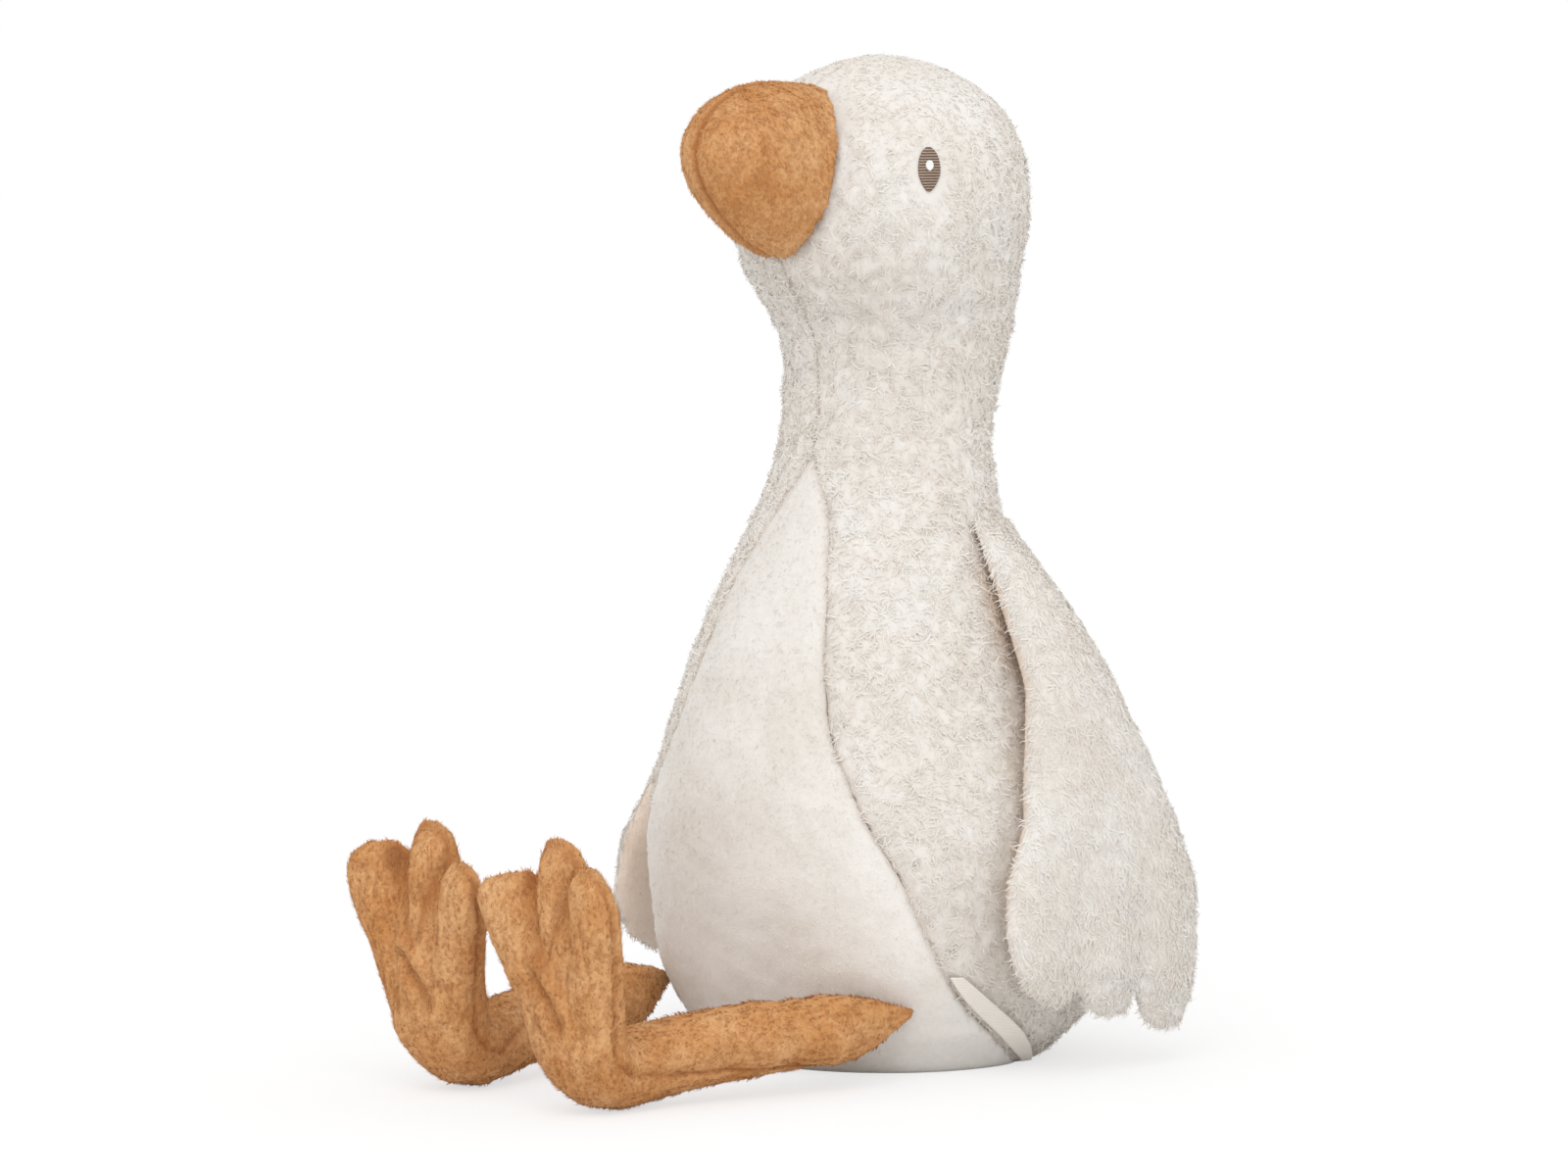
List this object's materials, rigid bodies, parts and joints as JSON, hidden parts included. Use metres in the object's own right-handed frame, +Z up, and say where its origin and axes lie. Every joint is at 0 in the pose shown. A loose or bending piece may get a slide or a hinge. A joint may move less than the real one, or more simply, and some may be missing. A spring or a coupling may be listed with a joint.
{
  "type": "plush goose",
  "caption": "Sitting stuffed bird toy: pear-shaped body on a flat base, long neck and round head, short beak, drooping scalloped wings, legs stretched forward with upright webbed feet.",
  "frame": {"origin": "middle of the flat base, at floor level", "axes": "+Z up, -Y the way the beak points, +X the goose's own left"},
  "size_m": [0.1786, 0.2336, 0.296],
  "materials": {
    "curly_pile": "off-white curly teddy pile",
    "smooth_pile": "off-white short smooth plush",
    "peach_lining": "pale peach short smooth plush",
    "ochre_velour": "ochre velour with a short lying pile",
    "wadding": "loose white wadding",
    "brown_thread": "brown satin-stitch thread",
    "white_thread": "white satin-stitch thread",
    "ribbon": "woven ribbon, left bare"
  },
  "bodies": {
    "root": {"beak_filling": "wadding", "belly_panel": "smooth_pile", "body_filling": "wadding", "left_beak_panel": "ochre_velour", "left_eye": "brown_thread", "left_eye_glint": "white_thread", "left_leg_filling": "wadding", "left_leg_sole_panel": "ochre_velour", "left_leg_upper_panel": "ochre_velour", "left_side_panel": "curly_pile", "left_wing_filling": "wadding", "left_wing_lining": "peach_lining", "left_wing_outer_panel": "curly_pile", "right_beak_panel": "ochre_velour", "right_eye": "brown_thread", "right_eye_glint": "white_thread", "right_leg_filling": "wadding", "right_leg_sole_panel": "ochre_velour", "right_leg_upper_panel": "ochre_velour", "right_side_panel": "curly_pile", "right_wing_filling": "wadding", "right_wing_lining": "peach_lining", "right_wing_outer_panel": "curly_pile", "seam_label": "ribbon"}
  },
  "joints": []
}
